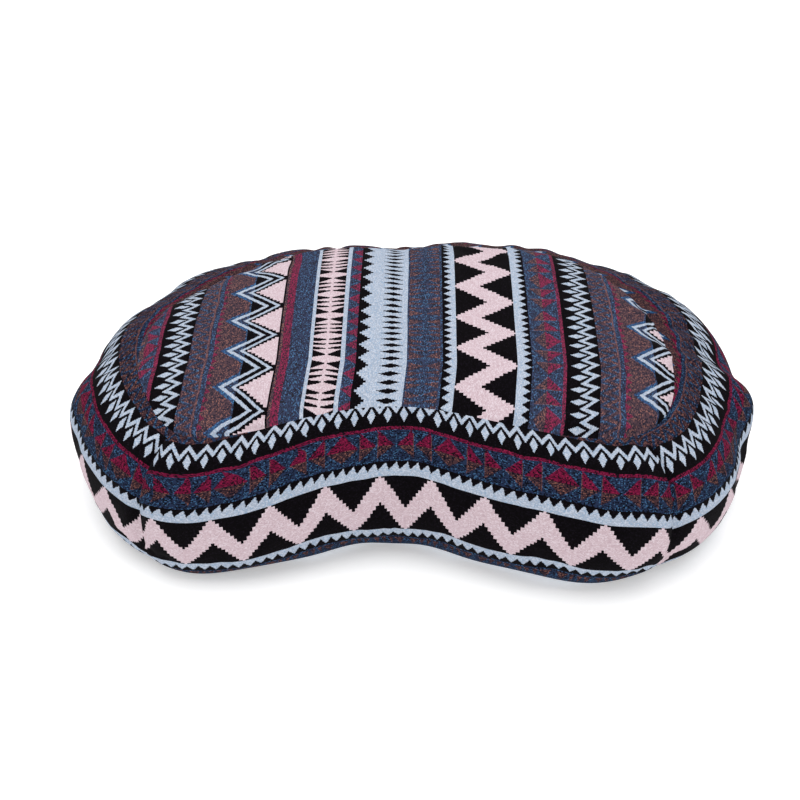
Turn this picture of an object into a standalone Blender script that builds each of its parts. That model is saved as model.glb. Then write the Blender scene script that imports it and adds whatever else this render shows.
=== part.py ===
"""Crescent meditation cushion (zafu), modelled as the filled body that it is.

The cover is cut from one striped cloth: a bean-shaped top panel, a like bottom panel, a short band
round the hollow front and a long band round the ends and the back.  Packed with hulls it is one
plump solid: the top is crowned, the band rolls out over a low belly and in again to the foot, and
every seam is drawn in.  It lies on its bottom panel, with the hollow front towards -Y.
"""

import bmesh
import bpy
import numpy as np

MM = 0.001

# ---- driving dimensions -------------------------------------------------------------------------

CROWN_MM = 13.0             # rise of the top panel's middle above its seam
EDGE_PUFF_MM = 3.6          # how far the cloth stands above a seam close beside it
EDGE_REACH_MM = 7.0         # the distance over which it rises
SHOULDER_PULL_MM = 38.0     # length of the nearly level stretch of band below the top seam
BELLY_PULL_MM = (28.0, 15.0)    # how long the belly stays upright, above and below its widest line
FOOT_PULL_MM = 14.0         # roundness of the turn from the belly to the foot
BOTTOM_SEAM_IN_MM = 12.0    # the bottom seam lies this far inside the foot line
SPINE_SHARE = 0.50          # length of the top's ridge line as a share of the panel

COLUMNS_PER_STATION = 9
TOP_RINGS = 10
BAND_RINGS = 16
UNDER_RINGS = 3

# The stations stand round the top seam, anticlockwise from the middle of the hollow front.
# seam_x, seam_y, seam_up: the seam's place in plan and its height
# reach, belly_up: how far the belly stands out from the seam, and the height where it is widest
# slope: how steeply the band leaves the seam, in degrees; foot_in: the foot's distance inside the belly
STATION_COLUMNS = ("seam_x", "seam_y", "seam_up", "reach", "belly_up", "slope", "foot_in")
STATIONS = {
    "front hollow":   (-5, -77, 94, 39, 29, 24, 23),
    "hollow, right":  (62, -90, 94, 44, 30, 16, 24),
    "right lobe":     (131, -99, 92, 50, 35, 15, 24),
    "right corner":   (176, -60, 88, 47, 38, 30, 22),
    "right end":      (174, 9, 89, 50, 44, 26, 21),
    "right heel":     (141, 68, 91, 42, 47, 28, 25),
    "back, right":    (82, 100, 91, 38, 46, 28, 26),
    "back":           (13, 103, 90, 39, 44, 32, 26),
    "back, left":     (-56, 97, 91, 41, 45, 31, 26),
    "left heel":      (-116, 68, 93, 44, 48, 24, 26),
    "left end, rear": (-168, 14, 92, 35, 46, 20, 24),
    "left end":       (-168, -48, 92, 46, 41, 18, 22),
    "left lobe":      (-134, -103, 91, 39, 33, 15, 18),
    "hollow, left":   (-71, -92, 92, 41, 29, 18, 24),
}

# Creases and swellings of the band.  around is in stations, down is a share of the band's height,
# long and wide are in millimetres, and out is the push along the surface, inwards where negative.
FOLD_COLUMNS = ("around", "down", "long", "wide", "out")
FOLDS = {
    "right corner join":   (2.62, 0.50, 9, 60, -3.0),
    "left corner join":    (12.30, 0.50, 9, 60, -3.0),
    "left end swelling":   (10.95, 0.62, 42, 17, 4.0),
    "left end crease":     (10.70, 0.36, 34, 9, -3.5),
    "right end swelling":  (4.15, 0.58, 36, 16, 4.0),
    "right end crease":    (4.35, 0.34, 34, 9, -3.5),
    "right lobe swelling": (2.10, 0.70, 46, 22, 2.5),
    "left lobe swelling":  (12.80, 0.66, 40, 22, 2.0),
}

SEAM_PUCKERS = 32           # gathers round the top seam
SEAM_PUCKER_MM = 0.9
BACK_WAVES = 17             # soft waves round the band, as many as the hulls bunch into
BACK_WAVE_MM = 1.8
FOOT_SCALLOPS = 16          # the band's lower edge bags out between its gathers
FOOT_SCALLOP_MM = 1.6


# ---- curves -------------------------------------------------------------------------------------

def station_values(column):
    """The table's values for one column, in the order of the stations."""
    return np.array([row[STATION_COLUMNS.index(column)] for row in STATIONS.values()], float)


def closed_curve(values, places):
    """Smooth closed curve through evenly spaced values, read at places counted in stations.

    It is a closed cubic B-spline: each value is two thirds of its own control value and one sixth
    of either neighbour's, so the control values come from one small linear system.
    """
    count = len(values)
    ring = np.eye(count)
    blend = (4 * ring + np.roll(ring, 1, axis=1) + np.roll(ring, -1, axis=1)) / 6
    control = np.linalg.solve(blend, values)
    first = np.floor(places).astype(int)
    part = places - first
    weights = ((1 - part) ** 3, 3 * part ** 3 - 6 * part ** 2 + 4,
               -3 * part ** 3 + 3 * part ** 2 + 3 * part + 1, part ** 3)
    return sum(weight / 6 * control[(first - 1 + step) % count]
               for step, weight in enumerate(weights))


def outward(points):
    """Unit vectors in plan that point out of a closed anticlockwise loop of points."""
    along = np.roll(points, -1, axis=0) - np.roll(points, 1, axis=0)
    along /= np.linalg.norm(along, axis=1)[:, None]
    return np.stack([along[:, 1], -along[:, 0]], axis=1)


def bezier(start, pull_start, pull_end, end, share):
    """Point at a share of the way along a cubic Bezier curve."""
    rest = 1 - share
    return (rest ** 3 * start + 3 * rest ** 2 * share * pull_start
            + 3 * rest * share ** 2 * pull_end + share ** 3 * end)


# ---- the cushion's rings ------------------------------------------------------------------------

def seam_frame(places):
    """Top seam in plan, the direction in which the band leaves it, and the belly's distance."""
    seam_stations = np.stack([station_values("seam_x"), station_values("seam_y")], axis=1)
    belly_stations = seam_stations + outward(seam_stations) * station_values("reach")[:, None]
    seam = np.stack([closed_curve(seam_stations[:, axis], places) for axis in (0, 1)], axis=1)
    belly = np.stack([closed_curve(belly_stations[:, axis], places) for axis in (0, 1)], axis=1)
    reach = np.linalg.norm(belly - seam, axis=1)
    return seam, (belly - seam) / reach[:, None], reach


def puff(distance):
    """Height of the cloth beside a seam, rising from nothing at the stitches."""
    return EDGE_PUFF_MM * (1 - np.exp(-distance / EDGE_REACH_MM))


def band_point(frame, places, share):
    """One ring of the band: share 0 is the top seam, 0.5 the belly and 1 the foot."""
    seam, direction, reach = frame
    seam_up = closed_curve(station_values("seam_up"), places)
    belly_up = closed_curve(station_values("belly_up"), places)
    slope = np.radians(closed_curve(station_values("slope"), places))
    foot = reach - closed_curve(station_values("foot_in"), places)
    foot = foot + FOOT_SCALLOP_MM * np.cos(2 * np.pi * FOOT_SCALLOPS * places / len(STATIONS))
    if share < 0.5:
        step = share / 0.5
        out = bezier(0.0, SHOULDER_PULL_MM * np.cos(slope), reach, reach, step)
        up = bezier(seam_up, seam_up - SHOULDER_PULL_MM * np.sin(slope),
                    belly_up + BELLY_PULL_MM[0], belly_up, step)
    else:
        step = share / 0.5 - 1
        out = bezier(reach, reach, foot + FOOT_PULL_MM, foot, step)
        up = bezier(belly_up, belly_up - BELLY_PULL_MM[1], 0.0, 0.0, step)
    return np.concatenate([seam + direction * out[:, None], up[:, None]], axis=1)


def ring_normals(rings):
    """Outward unit normals of a stack of rings, from their neighbours round and down."""
    around = np.roll(rings, -1, axis=1) - np.roll(rings, 1, axis=1)
    down = np.gradient(rings, axis=0)
    normals = np.cross(down, around)
    return normals / np.linalg.norm(normals, axis=2)[:, :, None]


def fold_push(places, depth, girth, height):
    """Push of every crease and swelling: a bell in each direction, as long and wide as its row."""
    push = np.zeros(np.broadcast(places, depth).shape)
    count = len(STATIONS)
    for row in FOLDS.values():
        fold = dict(zip(FOLD_COLUMNS, row))
        apart = (places - fold["around"] + count / 2) % count - count / 2
        along = apart * girth / count / fold["long"]
        across = (depth - fold["down"]) * height / fold["wide"]
        push = push + fold["out"] * np.exp(-along ** 2 - across ** 2)
    return push


def band_rings(frame, places):
    """The band from just below the top seam to the foot, with its puckers, waves and folds."""
    shares = (np.arange(BAND_RINGS + 1) / BAND_RINGS) ** 1.15
    rings = np.stack([band_point(frame, places, share) for share in shares])
    steps = np.linalg.norm(np.diff(rings, axis=0), axis=2)
    length = np.concatenate([np.zeros((1, len(places))), np.cumsum(steps, axis=0)])
    turn = 2 * np.pi * places[None, :] / len(STATIONS)
    height = length[-1].mean()
    girth = np.linalg.norm(np.diff(rings[len(rings) // 2], axis=0), axis=1).sum()
    depth = length / length[-1]
    fade = np.sin(np.pi * depth) ** 2
    behind = 0.5 + 0.5 * np.tanh((rings[:, :, 1] + 20) / 40)
    push = puff(length) * (1 - depth)
    push = push + SEAM_PUCKER_MM * np.cos(SEAM_PUCKERS * turn) * np.exp(-length / 16) * (length > 0)
    push = push + BACK_WAVE_MM * behind * fade * (np.cos(BACK_WAVES * turn) + 0.6 * np.sin(11 * turn))
    push = push + fold_push(places[None, :], depth, girth, height) * np.minimum(1, 4 * (1 - depth))
    rings = rings + ring_normals(rings) * push[:, :, None]
    rings[-1, :, 2] = 0.0
    return rings[1:]


def top_rings(frame, places):
    """The top panel from its seam in to the ridge line, crowned like a pillow."""
    seam, _, _ = frame
    seam_up = closed_curve(station_values("seam_up"), places)
    middle_y = station_values("seam_y").mean() + 10
    ridge = np.stack([seam[:, 0] * SPINE_SHARE, np.full(len(places), middle_y)], axis=1)
    distance = np.linalg.norm(ridge - seam, axis=1)
    rings = []
    for step in range(TOP_RINGS + 1):
        share = (step / TOP_RINGS) ** 1.35 * 0.93
        plan = seam + (ridge - seam) * share
        level = seam_up + (seam_up.mean() - seam_up) * share
        rise = CROWN_MM * (1 - (1 - share) ** 2.4) + puff(distance * share) * (1 - share)
        turn = 2 * np.pi * places / len(STATIONS)
        gather = SEAM_PUCKER_MM * np.cos(SEAM_PUCKERS * turn) * np.exp(-distance * share / 14)
        rings.append(np.concatenate([plan, (level + rise + gather * (step > 0))[:, None]], axis=1))
    return np.stack(rings)


def under_rings(foot_ring):
    """The band's tuck under the cushion, the bottom seam and the edge of the bottom panel."""
    inward = -outward(foot_ring[:, :2])
    ups = (0.0, EDGE_PUFF_MM, 0.0)
    rings = []
    for step in range(UNDER_RINGS):
        plan = foot_ring[:, :2] + inward * (step + 1) * BOTTOM_SEAM_IN_MM / 2
        rings.append(np.concatenate([plan, np.full((len(plan), 1), ups[step])], axis=1))
    return np.stack(rings)


# ---- the solid ----------------------------------------------------------------------------------

def add_cushion(name, material):
    """One closed body: crown, band, tuck and bottom, ring by ring from the ridge to the bottom."""
    count = len(STATIONS) * COLUMNS_PER_STATION
    places = np.arange(count) / COLUMNS_PER_STATION
    frame = seam_frame(places)
    top = top_rings(frame, places)[::-1]
    band = band_rings(frame, places)
    rings = np.concatenate([top, band, under_rings(band[-1])]) * MM
    middle = (rings.min(axis=(0, 1)) + rings.max(axis=(0, 1))) / 2
    rings[:, :, :2] -= middle[:2]

    mesh = bmesh.new()
    rows = [[mesh.verts.new(point) for point in ring] for ring in rings]
    for upper, lower in zip(rows, rows[1:]):
        for column in range(count):
            after = (column + 1) % count
            mesh.faces.new((upper[column], lower[column], lower[after], upper[after]))
    ladder_fill(mesh, rows[0])
    mesh.faces.new(rows[-1][::-1])
    bmesh.ops.recalc_face_normals(mesh, faces=mesh.faces)

    data = bpy.data.meshes.new(name)
    mesh.to_mesh(data)
    mesh.free()
    data.shade_smooth()
    data.materials.append(material)
    cushion = bpy.data.objects.new(name, data)
    bpy.context.scene.collection.objects.link(cushion)
    return cushion


def ladder_fill(mesh, loop):
    """Close the slot left at the ridge with rungs that join its front side to its back side."""
    count = len(loop)
    half = count // 2
    front = [loop[(column - count // 4) % count] for column in range(half + 1)]
    back = [loop[(-column - count // 4) % count] for column in range(half + 1)]
    for step in range(half):
        corners = []
        for corner in (front[step], front[step + 1], back[step + 1], back[step]):
            if corner not in corners:
                corners.append(corner)
        if len(corners) > 2:
            mesh.faces.new(corners)


def cloth_material():
    """Dark jacquard cotton, given here by the mean colour of its stripes."""
    material = bpy.data.materials.new("jacquard_cotton")
    material.use_nodes = True
    shader = material.node_tree.nodes["Principled BSDF"]
    shader.inputs["Base Color"].default_value = (0.075, 0.062, 0.085, 1.0)
    shader.inputs["Roughness"].default_value = 0.92
    shader.inputs["Metallic"].default_value = 0.0
    return material


for old in list(bpy.data.objects):
    bpy.data.objects.remove(old)
add_cushion("cushion", cloth_material())
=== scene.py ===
import bpy
import numpy as np
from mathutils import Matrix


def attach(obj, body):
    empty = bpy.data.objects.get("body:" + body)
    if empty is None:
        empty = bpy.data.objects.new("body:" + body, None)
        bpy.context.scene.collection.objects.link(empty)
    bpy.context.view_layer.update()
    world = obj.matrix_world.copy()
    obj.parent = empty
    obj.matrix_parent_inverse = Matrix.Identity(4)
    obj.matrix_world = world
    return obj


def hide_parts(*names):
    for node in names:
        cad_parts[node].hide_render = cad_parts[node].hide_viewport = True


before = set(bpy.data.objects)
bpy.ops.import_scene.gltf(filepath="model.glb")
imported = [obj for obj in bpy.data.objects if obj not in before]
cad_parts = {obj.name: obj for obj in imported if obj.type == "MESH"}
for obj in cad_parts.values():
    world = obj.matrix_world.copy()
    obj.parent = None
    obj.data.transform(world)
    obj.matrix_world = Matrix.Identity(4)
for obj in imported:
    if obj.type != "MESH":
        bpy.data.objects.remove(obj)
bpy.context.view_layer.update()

# ---- the studio ---------------------------------------------------------------------------------
# A plain pale floor that runs on under and behind the cushion, a large soft light overhead, three
# weaker ones from the front and both sides, and a camera that looks down at it by 40 degrees.

scene = bpy.context.scene


def linear_colour(hex_colour):
    """sRGB hex to linear RGBA: (c / 12.92) where dark, otherwise ((c + 0.055) / 1.055) ** 2.4."""
    channels = np.array([int(hex_colour[place:place + 2], 16) / 255 for place in (1, 3, 5)])
    linear = np.where(channels <= 0.04045, channels / 12.92, ((channels + 0.055) / 1.055) ** 2.4)
    return (*linear.tolist(), 1.0)


def add_node(material, kind, *inputs, named=(), **settings):
    """Adds a node with its settings and links or sets its inputs, in order or by name or place.

    Returns the node's first output, from which .node leads to the others.
    """
    node = material.node_tree.nodes.new("ShaderNode" + kind)
    for setting, value in settings.items():
        setattr(node, setting, value)
    for key, value in [*enumerate(inputs), *dict(named).items()]:
        if isinstance(value, bpy.types.NodeSocket):
            material.node_tree.links.new(value, node.inputs[key])
        else:
            node.inputs[key].default_value = value
    return node.outputs[0]


FLOOR_SIZE = 12.0                   # m, so that its edges stay out of sight

floor_mesh = bpy.data.meshes.new("floor")
floor_corners = np.array([[-1, -1, 0], [1, -1, 0], [1, 1, 0], [-1, 1, 0]]) * FLOOR_SIZE / 2
floor_mesh.from_pydata(floor_corners.tolist(), [], [(0, 1, 2, 3)])
floor = bpy.data.objects.new("floor", floor_mesh)
scene.collection.objects.link(floor)

# Matt white table acrylic, lit a little from beneath: no gloss, mottling too faint to draw the eye.
lit_acrylic = bpy.data.materials.new("lit_white_acrylic")
lit_acrylic.use_nodes = True
acrylic_shader = lit_acrylic.node_tree.nodes["Principled BSDF"]
acrylic_place = add_node(lit_acrylic, "TexCoord").node.outputs["Object"]
mottling = add_node(lit_acrylic, "TexNoise", acrylic_place, named={"Scale": 3.0})
acrylic_tone = add_node(lit_acrylic, "MixRGB", mottling, linear_colour("#f9f9f9"), linear_colour("#fcfcfc"))
lit_acrylic.node_tree.links.new(acrylic_tone, acrylic_shader.inputs["Base Color"])
acrylic_shader.inputs["Roughness"].default_value = 0.95
acrylic_shader.inputs["Specular IOR Level"].default_value = 0.1
acrylic_shader.inputs["Emission Color"].default_value = linear_colour("#ffffff")
acrylic_shader.inputs["Emission Strength"].default_value = 0.3
floor_mesh.materials.append(lit_acrylic)

# name: (place, aimed at, width and height of the panel in metres, watts)
SOFT_LIGHTS = {
    "overhead": ((0.0, 0.25, 1.9), (0.0, 0.0, 0.0), 2.4, 34.0),
    "front": ((0.2, -2.2, 1.1), (0.0, 0.0, 0.05), 1.6, 3.5),
    "left": ((-2.0, -0.7, 1.0), (0.0, 0.0, 0.05), 1.4, 5.0),
    "right": ((2.0, -0.7, 1.0), (0.0, 0.0, 0.05), 1.4, 5.0),
}
for name, (place, aim, size, watts) in SOFT_LIGHTS.items():
    panel = bpy.data.lights.new(name, "AREA")
    panel.size = size
    panel.energy = watts
    lamp = bpy.data.objects.new(name, panel)
    scene.collection.objects.link(lamp)
    away = np.array(place) - np.array(aim)
    lamp.location = place
    lamp.rotation_euler = (np.arccos(away[2] / np.linalg.norm(away)), 0.0,
                           np.arctan2(away[0], -away[1]))

studio_air = bpy.data.worlds.new("white_studio")
studio_air.use_nodes = True
studio_air.node_tree.nodes["Background"].inputs["Color"].default_value = linear_colour("#ffffff")
studio_air.node_tree.nodes["Background"].inputs["Strength"].default_value = 0.58
scene.world = studio_air
scene.view_settings.view_transform = "Standard"     # plain product-photograph tones: white stays white

lens = bpy.data.cameras.new("camera")
lens.lens = 63.9                    # mm
lens.sensor_width = 36.0
camera = bpy.data.objects.new("camera", lens)
camera.location = (0.0141, -0.7472, 0.6654)
camera.rotation_euler = (np.radians(50.0), 0.0, np.radians(1.65))
scene.collection.objects.link(camera)
scene.camera = camera

# ---- the cover: top panel, bands and bottom panel ----------------------------------------------
# One bean-shaped cushion cover, cut from a single striped jacquard: a top and a bottom panel, a short
# band across the hollow front and a long band round the ends and the back, joined by plain seams and
# packed full of hulls.  It rests on its bottom panel.

MM = 0.001

# The stations stand round the top seam, anticlockwise from the middle of the hollow front.  All their
# values but slope are in millimetres.
# seam_x, seam_y, seam_up: the seam's place in plan and its height
# reach, belly_up: how far the belly stands out from the seam, and the height where it is widest
# slope: how steeply the band leaves the seam, in degrees; foot_in: the foot's distance inside the belly
# line_down: how far down the band its double crimson line runs
STATION_COLUMNS = ("seam_x", "seam_y", "seam_up", "reach", "belly_up", "slope", "foot_in", "line_down")
STATIONS = {
    "front hollow":   (-5, -77, 94, 39, 29, 24, 23, 14.6),
    "hollow, right":  (62, -90, 94, 44, 30, 16, 24, 21.0),
    "right lobe":     (131, -99, 92, 50, 35, 15, 24, 29.0),
    "right corner":   (172, -61, 88, 51, 38, 30, 22, 34.0),
    "right end":      (172, 9, 89, 53, 44, 27, 22, 47.5),
    "right heel":     (143, 70, 91, 39, 47, 36, 25, 50.0),
    "back, right":    (84, 108, 91, 35, 46, 38, 26, 51.0),
    "back":           (13, 107, 90, 36, 44, 40, 26, 51.0),
    "back, left":     (-57, 102, 91, 38, 45, 40, 26, 50.5),
    "left heel":      (-117, 69, 93, 42, 48, 31, 26, 48.5),
    "left end, rear": (-168, 14, 92, 35, 46, 20, 24, 41.0),
    "left end":       (-168, -48, 92, 46, 41, 18, 22, 33.0),
    "left lobe":      (-134, -103, 91, 39, 33, 15, 18, 26.5),
    "hollow, left":   (-71, -92, 92, 41, 29, 18, 24, 19.0),
}
STATION_TABLE = np.array(list(STATIONS.values()), float)
STATION_COUNT = len(STATIONS)
MIDDLE_MM = (5.2163, -3.2734)       # middle of the bounding box, which becomes the origin

CROWN_MM, CROWN_POWER = 13.0, 2.4   # rise of the top panel's middle above its seam, and how flat it is
RIDGE_HALF_MM, RIDGE_BACK_MM = 86, 10   # half the length of the top's ridge line, and how far back it lies
EDGE_PUFF_MM = 3.6                  # how far the cloth stands above a seam close beside it
EDGE_REACH_MM = 7.0                 # the distance over which it rises
PUCKERS, PUCKER_MM = (27, 38, 53), 1.1      # counts round the top seam, and their height
PUCKER_REACH_MM = {"band": 14, "top": 12}   # how far they run from the seam
SHOULDER_PULL_MM = 38.0             # length of the nearly level stretch of band below the top seam
BELLY_PULL_MM = (28.0, 15.0)        # how long the belly stays upright, above and below its widest line
FOOT_PULL_MM = 14.0                 # roundness of the turn from the belly to the foot
FOOT_SCALLOPS, FOOT_SCALLOP_MM = 16, 1.6    # waves round the foot line, and how far they reach
BACK_WAVES, BACK_WAVE_MM = (17, 11, 7), 3.6     # counts and reach of the bunching of the long band
BACK_FROM_MM, BACK_EASE_MM = -20, 40        # it sets in behind this line, over this distance
BOTTOM_SEAM_IN_MM = 12.0            # the bottom seam lies this far inside the foot line
BOTTOM_SEAM_UP_MM, BOTTOM_LIP_MM = 2.4, 4   # it is drawn up by this much, and the panel falls from it
PUCKER_SEED, WAVE_SEED = 3, 5       # they place the puckers and the waves

AROUND = 336                        # vertices round the cover, 24 to a station, about 4 mm apart
BAND_ROWS, TUCK_ROWS = 28, 3        # rows down the band, and from the foot in to the bottom seam
ROW_CROWDING = 1.1                  # above 1, the band's rows stand closer together near the top seam
RIGHT_JOIN, LEFT_JOIN = 55, 285     # columns of the two upright joins of the bands
PANEL_CORNERS = (67, 125, 235, 293)     # columns where the panels' square grid has its corners

# Creases and swellings of the band.  around is in stations, down is a share of the band's height,
# long and wide are in millimetres, and out is the push along the surface, inwards where negative.
FOLDS = {
    "right corner join":    (2.29, 0.50, 6, 60, -3.4),
    "left corner join":     (11.88, 0.50, 6, 60, -3.4),
    "left end swelling":    (10.95, 0.60, 34, 15, 2.5),
    "left end lump":        (10.80, 0.46, 18, 12, 3.0),
    "left end dip":         (10.38, 0.30, 36, 13, -4.0),
    "left end notch":       (11.00, 0.70, 15, 11, -4.0),
    "right end swelling":   (4.15, 0.58, 36, 16, 3.0),
    "right end lump":       (3.55, 0.47, 18, 15, 6.0),
    "right end dip":        (3.90, 0.34, 24, 13, -2.5),
    "right end hollow":     (3.16, 0.54, 26, 22, -6.0),
    "right heel swelling":  (4.62, 0.31, 34, 20, 6.0),
    "right lobe tuck":      (2.25, 0.84, 40, 18, -2.5),
    "back dip":             (7.35, 0.08, 22, 14, -3.0),
    "left lobe swelling":   (12.70, 0.66, 40, 22, 2.0),
}


def closed_curve(column, places):
    """Closed cubic B-spline that passes through a column of the station table.

    Each station's value is two thirds of its own control value and one sixth of either neighbour's,
    so the control values come from one small linear system.  places are counted in stations.
    """
    values = column if isinstance(column, np.ndarray) else STATION_TABLE[:, STATION_COLUMNS.index(column)]
    ring = np.eye(STATION_COUNT)
    control = np.linalg.solve((4 * ring + np.roll(ring, 1, 1) + np.roll(ring, -1, 1)) / 6, values)
    first = np.floor(places).astype(int)
    part = places - first
    weights = ((1 - part) ** 3, 3 * part ** 3 - 6 * part ** 2 + 4,
               -3 * part ** 3 + 3 * part ** 2 + 3 * part + 1, part ** 3)
    return sum(weight / 6 * control[(first - 1 + step) % STATION_COUNT]
               for step, weight in enumerate(weights))


def bezier(start, pull_start, pull_end, end, share):
    """Cubic Bezier: the four points weighted by (1-s)^3, 3(1-s)^2 s, 3(1-s)s^2 and s^3."""
    rest = 1 - share
    return (rest ** 3 * start + 3 * rest ** 2 * share * pull_start
            + 3 * rest * share ** 2 * pull_end + share ** 3 * end)


def running_length(points, axis):
    """Length along a grid of points, summed from its first row or column."""
    steps = np.linalg.norm(np.diff(points, axis=axis), axis=2)
    start = np.zeros_like(np.take(steps, [0], axis=axis))
    return np.concatenate([start, np.cumsum(steps, axis=axis)], axis=axis)


def gathers(turn, waves, seed):
    """Uneven ripple round a seam: cosines of several counts, each with its own seeded phase."""
    phases = np.random.default_rng(seed).uniform(0, 2 * np.pi, len(waves))
    return sum(np.cos(wave * turn + phase) for wave, phase in zip(waves, phases)) / len(waves)


places = np.arange(AROUND) / (AROUND / STATION_COUNT)
turn = 2 * np.pi * places / STATION_COUNT


def band_grid():
    """The band's surface: shares 0 to 1 run down from the top seam, places run round it.

    Each column is two Bezier curves in an upright plane: its first half runs from the seam out to the
    belly, its second from the belly in to the foot.  Puckers, waves and folds then push it along its
    normals.
    """
    seam_stations = STATION_TABLE[:, :2]
    ahead = np.roll(seam_stations, -1, 0) - np.roll(seam_stations, 1, 0)
    ahead /= np.linalg.norm(ahead, axis=1)[:, None]
    out_of_it = np.stack([ahead[:, 1], -ahead[:, 0]], 1)
    belly_stations = seam_stations + out_of_it * STATION_TABLE[:, 3:4]
    seam = np.stack([closed_curve(seam_stations[:, axis], places) for axis in (0, 1)], 1)
    belly = np.stack([closed_curve(belly_stations[:, axis], places) for axis in (0, 1)], 1)
    reach = np.linalg.norm(belly - seam, axis=1)
    direction = (belly - seam) / reach[:, None]
    seam_up = closed_curve("seam_up", places)
    belly_up = closed_curve("belly_up", places)
    slope = np.radians(closed_curve("slope", places))
    foot = reach - closed_curve("foot_in", places) + FOOT_SCALLOP_MM * np.cos(FOOT_SCALLOPS * turn)
    share = ((np.arange(BAND_ROWS + 1) / BAND_ROWS) ** ROW_CROWDING)[:, None]
    upper, lower = np.minimum(share / 0.5, 1), np.maximum(share / 0.5 - 1, 0)
    out = np.where(share < 0.5,
                   bezier(0, SHOULDER_PULL_MM * np.cos(slope), reach, reach, upper),
                   bezier(reach, reach, foot + FOOT_PULL_MM, foot, lower))
    up = np.where(share < 0.5,
                  bezier(seam_up, seam_up - SHOULDER_PULL_MM * np.sin(slope),
                         belly_up + BELLY_PULL_MM[0], belly_up, upper),
                  bezier(belly_up, belly_up - BELLY_PULL_MM[1], 0, 0, lower))
    grid = np.concatenate([seam + direction * out[:, :, None], up[:, :, None]], 2)
    return grid + band_push(grid)[:, :, None] * grid_normals(grid)


def grid_normals(grid):
    """Outward unit normals of a ring grid: the cross product of its steps down and round."""
    normals = np.cross(np.gradient(grid, axis=0), np.roll(grid, -1, 1) - np.roll(grid, 1, 1))
    return normals / np.linalg.norm(normals, axis=2)[:, :, None]


def band_push(grid):
    """How far the cloth stands out: a puff beside the seam, puckers, bunched waves and folds.

    With d the distance down from the seam and h the share of the height, the puff is
    puff (1 - e^(-d / reach)) (1 - h), the puckers die away as e^(-d / reach), the waves grow as
    sin^2(pi h) towards the belly, and a fold is a bell e^(-a^2 - b^2) round its middle, which fades
    over the lowest quarter.
    """
    down = running_length(grid, 0)
    depth = down / down[-1]
    girth = running_length(grid, 1)[BAND_ROWS // 2, -1]
    behind = 0.5 + 0.5 * np.tanh((grid[:, :, 1] - BACK_FROM_MM) / BACK_EASE_MM)
    push = EDGE_PUFF_MM * (1 - np.exp(-down / EDGE_REACH_MM)) * (1 - depth)
    puckers = PUCKER_MM * gathers(turn, PUCKERS, PUCKER_SEED)
    push = push + puckers * np.exp(-down / PUCKER_REACH_MM["band"]) * (down > 0)
    waves = gathers(turn, BACK_WAVES, WAVE_SEED)
    push = push + BACK_WAVE_MM * behind * np.sin(np.pi * depth) ** 2 * waves
    for around, level, long, wide, out in FOLDS.values():
        apart = (places - around + STATION_COUNT / 2) % STATION_COUNT - STATION_COUNT / 2
        along = apart * girth / STATION_COUNT / long
        across = (depth - level) * down[-1].mean() / wide
        push = push + out * np.exp(-along ** 2 - across ** 2) * np.minimum(1, 4 * (1 - depth))
    push[-1] = 0
    return push


def patch_grid(ring):
    """Coons patch inside a closed ring of points.

    Rows and columns blend the ring's opposite sides, less the blend of its four corners, so the
    inside is a smooth square grid: S = Sc + Sd - Sb.
    """
    front, back, left, right = (ring[columns] for columns in patch_sides())
    across = np.linspace(0, 1, len(front))[None, :, None]
    along = np.linspace(0, 1, len(left))[:, None, None]
    ruled = (1 - along) * front[None] + along * back[None]
    ruled = ruled + (1 - across) * left[:, None] + across * right[:, None]
    corners = ((1 - along) * ((1 - across) * front[0] + across * front[-1])
               + along * ((1 - across) * back[0] + across * back[-1]))
    return ruled - corners


def patch_sides():
    """Columns of the ring along the patch's front, back, left and right, from the front left corner."""
    front_right, back_right, back_left, front_left = PANEL_CORNERS
    return (np.arange(front_left, front_right + AROUND + 1) % AROUND,
            np.arange(back_left, back_right - 1, -1),
            np.arange(front_left, back_left - 1, -1),
            np.arange(front_right, back_right + 1))


def nearest_on_ring(points, ring):
    """For each point of a grid, its distance in plan to the ring and the nearest column."""
    apart = np.linalg.norm(points[:, :, None, :2] - ring[None, None, :, :2], axis=3)
    return apart.min(2), apart.argmin(2)


def top_grid(seam_ring):
    """The top panel: a patch inside the seam, raised as a pillow is.

    With d the distance to the seam and r the distance to the ridge line, share = d / (d + r), and the
    rise is crown (1 - (1 - share)^power), plus a puff and puckers beside the seam that die away inwards.
    """
    grid = patch_grid(seam_ring)
    distance, column = nearest_on_ring(grid, seam_ring)
    ridge_y = STATION_TABLE[:, 1].mean() + RIDGE_BACK_MM
    past_ridge = np.maximum(np.abs(grid[:, :, 0]) - RIDGE_HALF_MM, 0)
    to_ridge = np.hypot(past_ridge, grid[:, :, 1] - ridge_y)
    share = distance / (distance + to_ridge + 1e-6)
    rise = CROWN_MM * (1 - (1 - share) ** CROWN_POWER)
    rise = rise + EDGE_PUFF_MM * (1 - np.exp(-distance / EDGE_REACH_MM)) * (1 - share)
    puckers = PUCKER_MM * gathers(turn, PUCKERS, PUCKER_SEED)[column]
    rise = rise + puckers * np.exp(-distance / PUCKER_REACH_MM["top"]) * (distance > 0)
    grid[:, :, 2] += rise
    return grid


band = band_grid()
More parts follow.
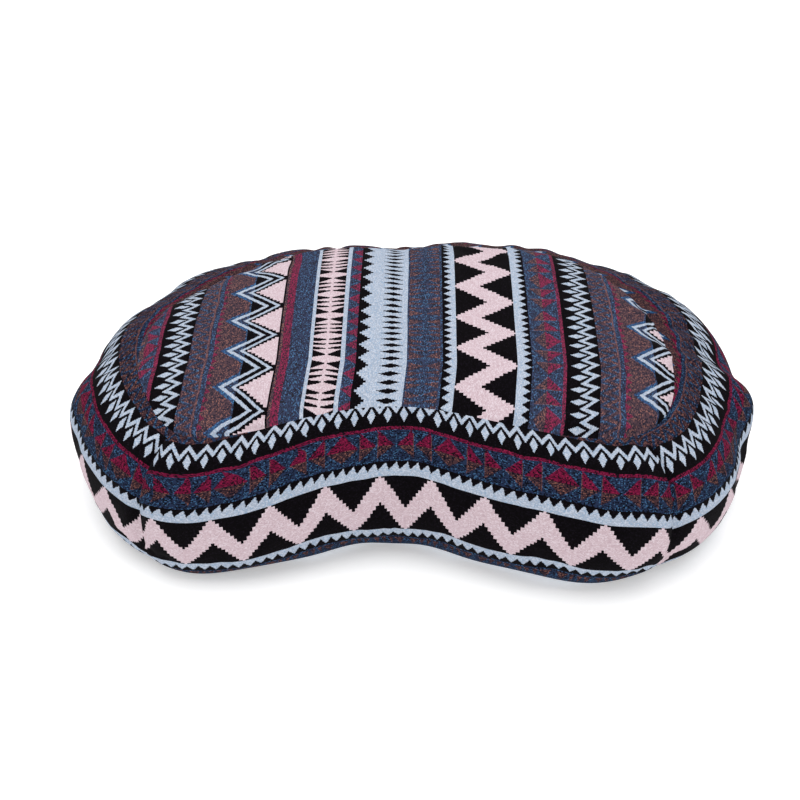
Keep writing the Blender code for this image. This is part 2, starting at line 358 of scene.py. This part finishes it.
# The right join leans: its foot is sewn a little nearer the front than its head.  Near it the grid moves
# round by so many columns at the head, and by so many fewer at the foot, in a bell so many stations wide.
LEAN_HEAD, LEAN_CHANGE, LEAN_WIDTH = 1.3, 3.0, 0.6
from_join = (places - FOLDS["right corner join"][0]) / LEAN_WIDTH
lean = (LEAN_HEAD - LEAN_CHANGE * np.linspace(0, 1, BAND_ROWS + 1))[:, None] * np.exp(-from_join ** 2)
leaned = np.arange(AROUND) + lean
part = (leaned - np.floor(leaned))[:, :, None]
rows = np.arange(BAND_ROWS + 1)[:, None]
first = np.floor(leaned).astype(int)
band = band[rows, first % AROUND] * (1 - part) + band[rows, (first + 1) % AROUND] * part
foot_ahead = np.roll(band[-1, :, :2], -1, 0) - np.roll(band[-1, :, :2], 1, 0)
tuck_in = np.stack([-foot_ahead[:, 1], foot_ahead[:, 0]], 1) / np.linalg.norm(foot_ahead, axis=1)[:, None]
tuck_share = (np.arange(1, TUCK_ROWS + 1) / TUCK_ROWS)[:, None, None]
tuck = np.concatenate([band[-1, :, :2] + tuck_in * tuck_share * BOTTOM_SEAM_IN_MM,
                       np.repeat(BOTTOM_SEAM_UP_MM * tuck_share ** 3, AROUND, 1)], 2)
rings = np.concatenate([band, tuck])
top = top_grid(band[0])
bottom = patch_grid(rings[-1])
bottom[:, :, 2] = BOTTOM_SEAM_UP_MM * np.exp(-nearest_on_ring(bottom, rings[-1])[0] / BOTTOM_LIP_MM)
for grid in (rings, top, bottom):
    grid[:, :, 0] -= MIDDLE_MM[0]
    grid[:, :, 1] -= MIDDLE_MM[1]

# The vertices are the rings, then the inside of the top and of the bottom panel.
ring_index = np.arange(rings.shape[0] * AROUND).reshape(rings.shape[0], AROUND)
patch_shape = top.shape[:2]
inside = (patch_shape[0] - 2) * (patch_shape[1] - 2)


def patch_index(ring_row, first):
    """Vertex numbers of a panel's grid, its border shared with a ring and its inside numbered on."""
    index = np.zeros(patch_shape, int)
    index[1:-1, 1:-1] = first + np.arange(inside).reshape(patch_shape[0] - 2, -1)
    front, back, left, right = patch_sides()
    index[0], index[-1], index[:, 0], index[:, -1] = (ring_row[side] for side in (front, back, left, right))
    return index


def quads(grid):
    """The four corners of every cell of a grid: itself, the next across, the one beyond, the next along."""
    corners = (grid[:-1, :-1], grid[:-1, 1:], grid[1:, 1:], grid[1:, :-1])
    return np.stack(corners, 2).reshape(-1, 4, *grid.shape[2:])


top_index = patch_index(ring_index[0], ring_index.size)
bottom_index = patch_index(ring_index[-1], ring_index.size + inside)
points = np.concatenate([rings.reshape(-1, 3), top[1:-1, 1:-1].reshape(-1, 3),
                         bottom[1:-1, 1:-1].reshape(-1, 3)]) * MM

# Where each panel lies on the flat cloth, in millimetres: first along its stripes, then across them.
# The bands' stripes run round the cushion, so their first place is a length round it from the middle of
# the hollow, and their second counts down from the seam.
LINE_ACROSS = 104.5                 # place across the cloth of the band's double crimson line


def ramp(value, start, end):
    """Smooth step from 0 at start to 1 at end: 3 x^2 - 2 x^3."""
    share = np.clip((value - start) / (end - start), 0, 1)
    return share ** 2 * (3 - 2 * share)


# How the filling draws a panel from its flat cut, in millimetres unless it is a share.
LEFT_STRETCH, LEFT_SHIFT = 0.075, 7.2       # the left end is stretched along its stripes and moved on
RIGHT_SHIFT = 5.7                           # the right end is moved back, most at its tip
RIGHT_FRONT_SHIFT = 3.2                     # the front of the last stripes on the right is moved on
MIDDLE_SHIFT, MIDDLE_SPREAD = 4.0, 2.6      # all over, and growing each way from the middle
MIDDLE_BULGE = 2.0                          # only near the middle
HOLLOW_DRAW, SLANT = 4.0, 0.0145            # across the stripes, near the hollow and all over
FAR_LEFT_DRAW = (1.0, 1.8)                  # across the stripes, in two steps


def flat_panel(grid):
    """A panel's place on the cloth is its plan, drawn out a little where the filling pulls it.

    With l, r and f the shares of the way out to the left, the right and the front, and y along the
    stripes, y grows by stretch l y + shift l - shift r^4, then by a constant, a tanh and a bell of y, and
    by a bell across the last stripes.  Across them the place moves by draw f, a slant in y, and two smooth
    steps at the far left.
    """
    across = grid[:, :, 0] + MIDDLE_MM[0]
    along = grid[:, :, 1] + MIDDLE_MM[1]
    left = np.clip((-40 - across) / 60, 0, 1)
    right = np.clip((across - 40) / 115, 0, 1.2)
    front = np.clip((-45 - along) / 45, 0, 1.2)
    pulled = along * (1 + LEFT_STRETCH * left) + LEFT_SHIFT * left - RIGHT_SHIFT * right ** 4
    last_stripes = np.exp(-((across - 111) / 15) ** 2) * np.clip((10 - pulled) / 60, 0, 1.3)
    far_left = FAR_LEFT_DRAW[0] * ramp(-across, 85, 100) + FAR_LEFT_DRAW[1] * ramp(-across, 118, 145)
    pulled_across = across + HOLLOW_DRAW * front + SLANT * (pulled + 8) - far_left
    middle = MIDDLE_SPREAD * np.tanh((pulled + 10) / 35)
    pulled = pulled + MIDDLE_SHIFT + middle + MIDDLE_BULGE * np.exp(-(pulled / 30) ** 2)
    return np.stack([pulled + RIGHT_FRONT_SHIFT * last_stripes, pulled_across], 2)


# How the sewn and filled band creeps from its straight cut, in millimetres, by the length round it from
# the middle of the hollow: along its stripes beside the seam, at the triangles and at the zigzag, and up
# it in its upper half and beside its foot.
CREEP_MM = np.array([
    (-172, 4.0, -6.5, 0.5, -3.0, -1.5), (-150, 3.9, -7.0, 0.0, -3.0, -1.0),
    (-138, 3.8, -7.1, -0.7, -3.0, 1.5), (-125, 3.3, -7.2, -1.3, -2.5, 2.2),
    (-110, 2.8, -7.2, -1.5, -1.6, 1.6), (-96, 2.6, -7.0, -1.6, -0.7, 0.6),
    (-80, 2.8, -6.6, -1.8, -0.3, 2.3), (-66, 2.7, -6.2, -1.8, 0.5, 2.8),
    (-53, 2.7, -5.8, -1.7, 1.1, 5.2), (-41, 2.5, -5.3, -1.5, 1.1, 4.9),
    (-28, 2.2, -4.6, -1.0, 0.0, 2.6), (-14, 1.7, -3.2, -0.2, 0.0, -0.3),
    (0, 1.6, -2.0, 0.9, 0.6, -0.8), (11, 1.9, -1.2, 2.2, 1.9, 0.4),
    (23, 1.3, -0.2, 3.7, 2.1, 2.6), (36, 0.7, 0.7, 4.5, 1.3, 4.9),
    (50, 0.9, 1.1, 5.1, 1.3, 2.9), (64, 1.2, 1.4, 5.3, 1.6, 2.5),
    (78, 1.5, 1.6, 4.7, 2.6, 4.2), (93, 1.7, 1.8, 3.6, 3.1, 6.0),
    (108, 1.9, 1.9, 3.1, 3.1, 7.6), (123, 1.7, 1.7, 2.7, 2.2, 4.9),
    (139, 0.8, 1.5, 2.2, 0.5, 4.6), (152, 0.0, 1.4, 1.6, 0.0, 2.9),
    (172, 0.0, 1.2, 1.0, -3.0, -1.0)])
# The creep changes over between these depths below the crimson line.
TO_TRIANGLES, TO_ZIGZAG, TO_FOOT = (0, 2.4), (18, 30), (48, 70)

columns = np.arange(LEFT_JOIN - AROUND, LEFT_JOIN + 1)      # from the left join, round the front first
strip = rings[:, columns % AROUND]
hollow = AROUND - LEFT_JOIN                                 # the middle of the hollow in that order
at_join = RIGHT_JOIN + hollow                               # the right join in that order
down = running_length(strip, 0)
round_it = running_length(strip, 1)
round_it = round_it - round_it[:, hollow:hollow + 1]
by_seam, by_triangles, by_zigzag, rise, foot_rise = (
    np.interp(round_it, CREEP_MM[:, 0], CREEP_MM[:, place]) for place in range(1, 6))
line_down = closed_curve("line_down", (columns % AROUND) / (AROUND / STATION_COUNT))
past_line = down - line_down
creep = by_seam + (by_triangles - by_seam) * ramp(past_line + rise, *TO_TRIANGLES)
creep = creep + (by_zigzag - by_triangles) * ramp(past_line, *TO_ZIGZAG)
rise = rise + (foot_rise - rise) * ramp(past_line, *TO_FOOT)
band_across = LINE_ACROSS - past_line - rise
FRONT_START = 20.0                  # place along the cloth at the middle of the hollow
front_cloth = np.stack([FRONT_START - round_it - creep, band_across], 2)[:, :at_join + 1]

# The back band lies unstretched near both joins, and eases the difference away round the back.
BACK_STRIP_MM = 871.0               # its cut length, about 24 zigzags
RIGHT_END_START = 47.0              # place along the cloth at the right join
LEFT_CREEP_MM, RIGHT_RISE_MM = 4, 5.5   # creep of the zigzag at the left join, and rise at the right one
JOIN_REACH_MM = 80                  # how far from the join they die away
EASE_FROM, EASE_TO = 0.12, 0.88     # shares of the way round between which the difference is eased away
from_right = round_it[:, at_join:] - round_it[:, at_join:at_join + 1]
from_left = from_right - from_right[:, -1:] + BACK_STRIP_MM
ease = ramp(np.linspace(0, 1, from_right.shape[1]), EASE_FROM, EASE_TO)
back_along = RIGHT_END_START - from_right * (1 - ease) - from_left * ease
past_line = past_line[:, at_join:]
to_left = (BACK_STRIP_MM - from_left) / JOIN_REACH_MM
back_along = back_along - LEFT_CREEP_MM * ramp(past_line, *TO_ZIGZAG) * np.exp(-to_left ** 2)
back_across = LINE_ACROSS - past_line + RIGHT_RISE_MM * np.exp(-(from_right / JOIN_REACH_MM) ** 2)
back_cloth = np.stack([back_along, back_across], 2)

strip_index = ring_index[:, columns % AROUND]
faces = np.concatenate([
    quads(top_index),
    quads(bottom_index)[:, ::-1],
    quads(strip_index[:, :at_join + 1])[:, ::-1],
    quads(strip_index[:, at_join:])[:, ::-1]])
cloth_places = np.concatenate([
    quads(flat_panel(top)),
    quads(flat_panel(bottom))[:, ::-1],
    quads(front_cloth)[:, ::-1],
    quads(back_cloth)[:, ::-1]]) * MM

cover_mesh = bpy.data.meshes.new("cushion_cover")
cover_mesh.from_pydata(points.tolist(), [], faces.tolist())
cover_mesh.uv_layers.new(name="cloth").data.foreach_set("uv", cloth_places.ravel())
# The top_panel attribute marks the top panel, where the material paints a sheen on the melange; on the bands
# it paints shade.
on_top = np.arange(faces.size) < quads(top_index).size
cover_mesh.attributes.new("top_panel", "FLOAT", "CORNER").data.foreach_set("value", on_top * 1.0)
cover_mesh.shade_smooth()
cover = bpy.data.objects.new("cushion_cover", cover_mesh)
scene.collection.objects.link(cover)

edge_ends = np.zeros(len(cover_mesh.edges) * 2, int)
cover_mesh.edges.foreach_get("vertices", edge_ends)
edge_ends = edge_ends.reshape(-1, 2)
sewn = np.zeros(len(edge_ends), bool)
for seam_line in (ring_index[0], ring_index[-1],
                  ring_index[:, RIGHT_JOIN], ring_index[:, LEFT_JOIN]):
    sewn |= np.isin(edge_ends, seam_line).all(1)


def even_out(moves, rounds):
    """Spreads each vertex's move over its neighbours: the mean of its own and their mean, in rounds."""
    ends = np.concatenate([edge_ends, edge_ends[:, ::-1]])
    neighbours = np.bincount(ends[:, 0], minlength=len(moves))[:, None]
    for _ in range(rounds):
        around = np.stack([np.bincount(ends[:, 0], moves[ends[:, 1], axis], len(moves))
                           for axis in range(3)], 1)
        moves = (moves + around / neighbours) / 2
    return moves


# The packing: the cover starts a little small and is blown up as cloth, while the thread of its seams
# draws in, which puckers the cloth beside them.  Its foot and bottom panel are held where they lie.  The
# fitted shape is kept: the slow part of every move is taken back, and what is left is capped.
START_INSIDE = 2.5 * MM             # how far inside its fitted shape the cover starts
SEAM_DRAW, BESIDE_SEAM = 0.06, 0.5  # how far the seams draw in, and the share of it one row away
FREE_ABOVE, HELD_SPAN = 20 * MM, 16 * MM    # the cover is free above this height, and held further down
PACKING_FRAMES = 20
SLOW_ROUNDS, KEPT_SLOW = 24, 0.10   # rounds that find the slow part of a move, and the share of it kept
TOP_SHARE, CAP = 0.6, 2.4 * MM      # share of the moves kept on the top panel, and the largest move

outward = np.zeros(points.size)
cover_mesh.vertices.foreach_get("normal", outward)
outward = outward.reshape(-1, 3)
height = points[:, 2]
held = np.clip((FREE_ABOVE - height) / HELD_SPAN, 0, 1)
held[bottom_index.ravel()] = 1
start_points = points - outward * START_INSIDE * (1 - held)[:, None]
cover_mesh.vertices.foreach_set("co", start_points.ravel())
drawn = np.zeros(len(points))
drawn[ring_index[1]] = drawn[top_index[1]] = drawn[top_index[-2]] = BESIDE_SEAM
drawn[top_index[:, 1]] = drawn[top_index[:, -2]] = BESIDE_SEAM
drawn[ring_index[0]] = drawn[ring_index[:, RIGHT_JOIN]] = drawn[ring_index[:, LEFT_JOIN]] = 1
for name, weights in (("held", held), ("drawn", drawn)):
    group = cover.vertex_groups.new(name=name)
    for weight in np.unique(np.round(weights, 2)):
        group.add(np.flatnonzero(np.round(weights, 2) == weight).tolist(), float(weight), "REPLACE")
packing = cover.modifiers.new("packing", "CLOTH")
packing.point_cache.frame_start, packing.point_cache.frame_end = 1, PACKING_FRAMES
packing.settings.quality = 6
packing.settings.mass = 0.15
packing.settings.tension_stiffness = packing.settings.compression_stiffness = 20
packing.settings.shear_stiffness = 8
packing.settings.bending_stiffness = 0.2
packing.settings.use_pressure = True
packing.settings.uniform_pressure_force = 4
packing.settings.vertex_group_mass = "held"
packing.settings.vertex_group_shrink = "drawn"
packing.settings.shrink_min, packing.settings.shrink_max = 0.0, SEAM_DRAW
packing.settings.effector_weights.gravity = 0
for moment in range(1, PACKING_FRAMES + 1):
    scene.frame_set(moment)
packed = cover.evaluated_get(bpy.context.evaluated_depsgraph_get()).to_mesh()
moves = np.zeros(points.size)
packed.vertices.foreach_get("co", moves)
moves = moves.reshape(-1, 3) - start_points
cover.modifiers.remove(packing)
cover.vertex_groups.clear()
scene.frame_set(1)
moves = moves - (1 - KEPT_SLOW) * even_out(moves, SLOW_ROUNDS)
moves = moves * (1 - held)[:, None] ** 0.5
moves[top_index[2:-2, 2:-2].ravel()] *= TOP_SHARE
length = np.linalg.norm(moves, axis=1)[:, None] + 1e-9
points = points + moves / length * CAP * np.tanh(length / CAP)
points[:, 2] = np.maximum(points[:, 2], 0)
cover_mesh.vertices.foreach_set("co", points.ravel())

# Seams stay crisp when the cover is smoothed: the two round seams and the two upright joins.
SEAM_CREASE = 0.8
cover_mesh.attributes.new("crease_edge", "FLOAT", "EDGE").data.foreach_set("value", sewn * SEAM_CREASE)

smoothing = cover.modifiers.new("smoothing", "SUBSURF")
smoothing.levels = smoothing.render_levels = 1
smoothing.uv_smooth = "NONE"

# The cloth is a medium-weight cotton jacquard: the figure is woven in, so every edge climbs in small
# steps, and the dark stripes are melange, two or three yarns mixed, which gives a flecked heather and no
# shine.

PATTERN_REPEAT = 264.5              # mm across all twenty stripes
PATTERN_START = -160.0              # the first stripe's place across the cloth

# yarn: (main colour, second colour, its share, fleck colour, its share)
YARNS = {
    "black":   ("#090709", "#0d0a0e", 0.35, "#151118", 0.10),
    "pale":    ("#a0aaba", "#8fa4bc", 0.25, "#b9c1cf", 0.30),
    "pink":    ("#c7b2b9", "#bda6ae", 0.30, "#d4c5cc", 0.25),
    "crimson": ("#701739", "#1d101a", 0.36, "#932549", 0.12),
    "navy":    ("#283551", "#10121b", 0.38, "#42698f", 0.12),
    "blue":    ("#264871", "#141f36", 0.32, "#417aa6", 0.12),
    "brown":   ("#4b3439", "#191622", 0.42, "#86594f", 0.12),
    "orange":  ("#5f4144", "#3c2a33", 0.35, "#7a5350", 0.25),
}
YARN_NUMBERS = {yarn: number for number, yarn in enumerate(YARNS)}

# Plain stripes, in millimetres across the cloth: (yarn, from, to), painted in this order.
STRIPES = (
    ("black", -160, -138.7), ("brown", -138.7, -80.5), ("orange", -127.1, -126.0),
    ("navy", -125.9, -122.6), ("navy", -103.2, -102.0), ("black", -102.0, -79.3),
    ("brown", -79.3, -77.6), ("crimson", -77.6, -72.6), ("navy", -72.6, -60.2),
    ("pale", -60.2, -57.9), ("pink", -57.9, -40.0), ("pale", -40.0, -37.3),
    ("navy", -37.3, -30.2), ("pale", -30.2, 2.3), ("navy", 2.3, 25.7),
    ("black", 25.7, 31.7), ("pale", 31.6, 34.6), ("pink", 34.6, 73.0),
    ("pale", 73.0, 76.9), ("black", 76.8, 82.4), ("navy", 82.4, 101.9),
    ("crimson", 101.9, 104.5),
)

# Figures, painted over the stripes in this order.  Each repeats along the stripe every `every` mm from
# `start`.  With a the distance across from `middle`, and d the distance from its nearest middle, or from
# a line `lag` mm either side of that and tilted by `tilt`, folded again every `fold` or taken in whole
# `step`s, it covers side * a + slope * d < limit.
ZIGZAG = 35.8                       # mm, the wide zigzag's repeat along the stripes
LOZENGES = dict(every=ZIGZAG / 3.5, start=0.2)      # the fine zigzag and its lozenges
CHEVRONS = dict(middle=-80.5, every=ZIGZAG, start=4.8)
LINES = dict(CHEVRONS, slope=1.173)                 # the chevrons' own lines, all parallel
PAIRED = dict(middle=92.4, every=2 * ZIGZAG, start=-16.8, fold=12.1)
FIGURES = [
    # fine zigzag and nested lozenges, pale on black
    dict(LOZENGES, yarn="pale", across=(-160, -138.9), middle=-160, slope=1.62, limit=20.7),
    dict(LOZENGES, yarn="black", across=(-160, -138.9), middle=-160, slope=1.55, limit=16.2),
    dict(LOZENGES, yarn="pale", across=(-160, -138.9), middle=-152.3, slope=2.2, limit=5.5),
    # faint blue zigzag and triangles in the brown heather, and crimson teeth
    dict(LOZENGES, yarn="navy", across=(-138.7, -127.1), middle=-138.7, slope=1.9, limit=10.6),
    dict(LOZENGES, yarn="brown", across=(-138.7, -127.1), middle=-138.7, slope=1.9, limit=6.4),
    dict(yarn="navy", across=(-138.7, -127.1), middle=-127.1, slope=1.7, limit=5.0, every=ZIGZAG / 3.5,
         start=5.3),
    dict(yarn="crimson", across=(-122.6, -118), middle=-122.6, slope=1.3, limit=3.9, every=ZIGZAG / 5,
         start=1.0),
    # chevrons: blue halo, pale line, navy or black, pale line, black, and a stepped pink triangle
    dict(LINES, yarn="blue", across=(-120, -102), limit=37.6),
    dict(LINES, yarn="black", across=(-102, -80.5), limit=37.6),
    dict(LINES, yarn="pale", across=(-120, -80.5), limit=33.7),
    dict(LINES, yarn="navy", across=(-120, -102), limit=30.0),
    dict(LINES, yarn="black", across=(-102, -80.5), limit=30.0),
    dict(LINES, yarn="pale", across=(-120, -80.5), limit=25.3),
    dict(LINES, yarn="black", across=(-120, -80.5), limit=22.3),
    dict(CHEVRONS, yarn="pink", across=(-120, -80.5), slope=1.26, limit=19.6, step=1.99),
    # crimson triangles on navy
    dict(yarn="crimson", across=(-37.3, -30.2), middle=-30.2, slope=1.32, limit=6.9, every=13.25, start=0.12),
    # black stepped border and a row of thin lozenges on pale
    dict(yarn="black", across=(-30.2, 0), middle=-30.2, slope=1.0, limit=8.5, every=13.25, start=6.75,
         step=1.66),
    dict(yarn="black", across=(-20, 2), middle=-7.5, slope=3.5, limit=7.2, every=6.625, start=0.15),
    # teeth either side of the wide zigzag, and the black stepped triangles that leave the zigzag
    dict(yarn="pale", across=(25.7, 31.7), middle=31.7, slope=1.42, limit=5.0, every=7.06, start=-0.1),
    dict(yarn="pale", across=(76.8, 82.4), middle=76.8, slope=1.36, limit=4.8, every=7.06, start=-3.7),
    dict(yarn="black", across=(34.6, 73), middle=34.6, slope=1.26, limit=20.8, every=ZIGZAG, start=26.5,
         step=1.99),
    dict(yarn="black", across=(34.6, 73), middle=73, slope=1.3, limit=21.7, every=ZIGZAG, start=8.6,
         step=1.99),
    # paired triangles, crimson and brown, with fine lines at their upright edges
    dict(PAIRED, yarn="orange", across=(84.6, 100), slope=-1000, limit=-11650),
    dict(PAIRED, yarn="crimson", across=(92.4, 102), slope=0.93, limit=9.7),
    dict(PAIRED, yarn="brown", across=(84, 92.4), slope=0.73, limit=7.8),
]

# The same figure is woven twice, black on pink and, a little wider, brown on navy: from either side of the
# stripe four blunt wedges reach in, tilted, mirrored about every 24.3 mm, and leave two sizes of diamond.
WEDGES = ((4.4, 3.9), (10.4, 1.7), (15.2, 1.7), (20.0, 2.3))    # (place along, half its base) in mm
WEDGE_GAP = 0.8                     # mm from a wedge's blunt tip to the middle of the stripe
MIDDLE_LINE = 0.6                   # half the width of the ground's own line there
for yarn, ground, middle, half, blunt in (("black", "pink", -48.95, 8.95, 0.5),
                                          ("brown", "navy", 14.0, 10.2, 0.1)):
    figure = dict(across=(middle - half, middle + half), middle=middle, every=48.6, start=8.0)
    for lag, half_base in WEDGES:
        slope = (half - WEDGE_GAP) / (half_base - blunt)
        FIGURES.append(dict(yarn=yarn, side=-1, slope=slope, limit=blunt * slope - WEDGE_GAP,
                            lag=lag, tilt=0.1, **figure))
    FIGURES.append(dict(yarn=ground, slope=0, limit=MIDDLE_LINE, **figure))

THREAD_MM = 0.55                    # one woven step, both ways
FLECK_MM = (0.8, 0.5)               # length and width of a fleck of melange yarn
PATCHINESS = 0.25                   # how strongly one yarn gathers in patches
PATCHES_PER_MM = 0.3                # their number, which the noise's detail breaks up further
SHEEN_VEIL_COLOUR, PAINTED_SHEEN_SHARE = "#a09ab0", 0.04     # pale grey of the painted sheen, and how much of it is mixed into the melange on the top panel
PAINTED_SHADE_SHARE = 0.24                    # painted shade: how much the melange is darkened on the bands
RIB_MM = 1.5                        # the weave's ribs are 0.5 mm, drawn coarser so that they show
RIB_SHARE, RELIEF_MM, RELIEF_STRENGTH = 0.35, 0.4, 0.35     # ribs beside single yarns, and their depth

jacquard = bpy.data.materials.new("jacquard_melange_cotton")
jacquard.use_nodes = True
cloth_shader = jacquard.node_tree.nodes["Principled BSDF"]
cloth_shader.inputs["Roughness"].default_value = 0.92
cloth_shader.inputs["Specular IOR Level"].default_value = 0.01
cloth_shader.inputs["Sheen Weight"].default_value = 0.02
cloth_shader.inputs["Sheen Roughness"].default_value = 0.5

cloth_map = add_node(jacquard, "UVMap", uv_map="cloth")
cloth_parts = add_node(jacquard, "SeparateXYZ", cloth_map).node.outputs
along_mm = add_node(jacquard, "Math", cloth_parts[0], 1 / MM, operation="MULTIPLY")
across_mm = add_node(jacquard, "Math", cloth_parts[1], 1 / MM, operation="MULTIPLY")
along = add_node(jacquard, "Math", along_mm, THREAD_MM, operation="SNAP")
across = add_node(jacquard, "Math", across_mm, THREAD_MM, operation="SNAP")
across = add_node(jacquard, "Math", across, PATTERN_START + PATTERN_REPEAT, PATTERN_START, operation="WRAP")

yarn_number = 0.0
for yarn, start, end in STRIPES:
    covered = add_node(jacquard, "Math", across, (start + end) / 2, (end - start) / 2, operation="COMPARE")
    yarn_number = add_node(jacquard, "Mix", covered, named={2: yarn_number, 3: float(YARN_NUMBERS[yarn])})
distances = {}
for figure in FIGURES:
    start, end = figure["across"]
    in_stripe = add_node(jacquard, "Math", across, (start + end) / 2, (end - start) / 2, operation="COMPARE")
    apart = add_node(jacquard, "Math", across, figure["middle"], operation="SUBTRACT")
    apart = add_node(jacquard, "Math", apart, operation="ABSOLUTE")
    repeat = tuple(figure.get(key, 0) for key in ("every", "start", "lag", "tilt", "fold", "step"))
    if repeat not in distances or "tilt" in figure:
        distance = add_node(jacquard, "Math", along, figure["start"], operation="SUBTRACT")
        distance = add_node(jacquard, "Math", distance, figure["every"] / 2, operation="PINGPONG")
        if "lag" in figure:
            line = add_node(jacquard, "Math", apart, figure["tilt"], figure["lag"], operation="MULTIPLY_ADD")
            distance = add_node(jacquard, "Math", distance, line, operation="SUBTRACT")
            distance = add_node(jacquard, "Math", distance, operation="ABSOLUTE")
        if "fold" in figure:
            distance = add_node(jacquard, "Math", distance, figure["fold"], operation="MODULO")
        if "step" in figure:
            distance = add_node(jacquard, "Math", distance, figure["step"] / 2, operation="ADD")
            distance = add_node(jacquard, "Math", distance, figure["step"], operation="SNAP")
        distances[repeat] = distance
    slant = add_node(jacquard, "Math", distances[repeat], figure["slope"], operation="MULTIPLY")
    reach = add_node(jacquard, "Math", apart, figure.get("side", 1), slant, operation="MULTIPLY_ADD")
    covered = add_node(jacquard, "Math", reach, figure["limit"], operation="LESS_THAN")
    covered = add_node(jacquard, "Math", in_stripe, covered, operation="MULTIPLY")
    yarn_number = add_node(jacquard, "Mix", covered,
                           named={2: yarn_number, 3: float(YARN_NUMBERS[figure["yarn"]])})

# Melange: every short length of yarn takes one of its stripe's three colours by chance, with patches
# where one of them gathers.
fleck_along = add_node(jacquard, "Math", along_mm, FLECK_MM[0], operation="SNAP")
fleck_across = add_node(jacquard, "Math", across_mm, FLECK_MM[1], operation="SNAP")
fleck_place = add_node(jacquard, "CombineXYZ", fleck_along, fleck_across)
chance = add_node(jacquard, "TexWhiteNoise", fleck_place, noise_dimensions="2D")
patch_place = add_node(jacquard, "CombineXYZ", along_mm, across_mm)
patches = add_node(jacquard, "TexNoise", patch_place, named={"Scale": PATCHES_PER_MM, "Detail": 3.0})
second_chance = add_node(jacquard, "Math", patches, PATCHINESS, chance, operation="MULTIPLY_ADD")
fleck_chance = add_node(jacquard, "SeparateXYZ", chance.node.outputs[1]).node.outputs[1]

colour = linear_colour("#000000")
for yarn, (main, second, second_share, fleck, fleck_share) in YARNS.items():
    is_second = add_node(jacquard, "Math", second_chance, second_share + PATCHINESS / 2,
                         operation="LESS_THAN")
    is_fleck = add_node(jacquard, "Math", fleck_chance, fleck_share, operation="LESS_THAN")
    is_yarn = add_node(jacquard, "Math", yarn_number, float(YARN_NUMBERS[yarn]), 0.5, operation="COMPARE")
    mixed = add_node(jacquard, "MixRGB", is_second, linear_colour(main), linear_colour(second))
    mixed = add_node(jacquard, "MixRGB", is_fleck, mixed, linear_colour(fleck))
    colour = add_node(jacquard, "MixRGB", is_yarn, colour, mixed)

# Painted light: on the top panel the melange yarns are mixed a little towards a pale grey, a painted sheen
# for the light from above, and on the bands they are darkened, a painted shade.
painted_sheen = add_node(jacquard, "MixRGB", PAINTED_SHEEN_SHARE, colour, linear_colour(SHEEN_VEIL_COLOUR))
painted_shade = add_node(jacquard, "MixRGB", PAINTED_SHADE_SHARE, colour, linear_colour("#000000"))
top_panel = add_node(jacquard, "Attribute", attribute_name="top_panel").node.outputs["Fac"]
sheen_or_shade = add_node(jacquard, "MixRGB", top_panel, painted_shade, painted_sheen)
is_melange = add_node(jacquard, "Math", yarn_number, YARN_NUMBERS["crimson"] - 0.5, operation="GREATER_THAN")
colour = add_node(jacquard, "MixRGB", is_melange, colour, sheen_or_shade)
jacquard.node_tree.links.new(colour, cloth_shader.inputs["Base Color"])

# Weave relief: slanting ribs of thread, broken up by the yarn's own unevenness.
both_ways = add_node(jacquard, "Math", along_mm, across_mm, operation="ADD")
rib_phase = add_node(jacquard, "Math", both_ways, 2 * np.pi / RIB_MM, operation="MULTIPLY")
thread_phase = add_node(jacquard, "Math", across_mm, 4 * np.pi / RIB_MM, operation="MULTIPLY")
rib_wave = add_node(jacquard, "Math", rib_phase, operation="SINE")
thread_wave = add_node(jacquard, "Math", thread_phase, operation="SINE")
ribs = add_node(jacquard, "Math", rib_wave, thread_wave, operation="MULTIPLY")
relief = add_node(jacquard, "Math", ribs, RIB_SHARE, chance, operation="MULTIPLY_ADD")
bump = add_node(jacquard, "Bump", named={"Strength": RELIEF_STRENGTH, "Distance": RELIEF_MM * MM,
                                         "Height": relief})
jacquard.node_tree.links.new(bump, cloth_shader.inputs["Normal"])

cover_mesh.materials.append(jacquard)
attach(cover, "root")
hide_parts("cushion")
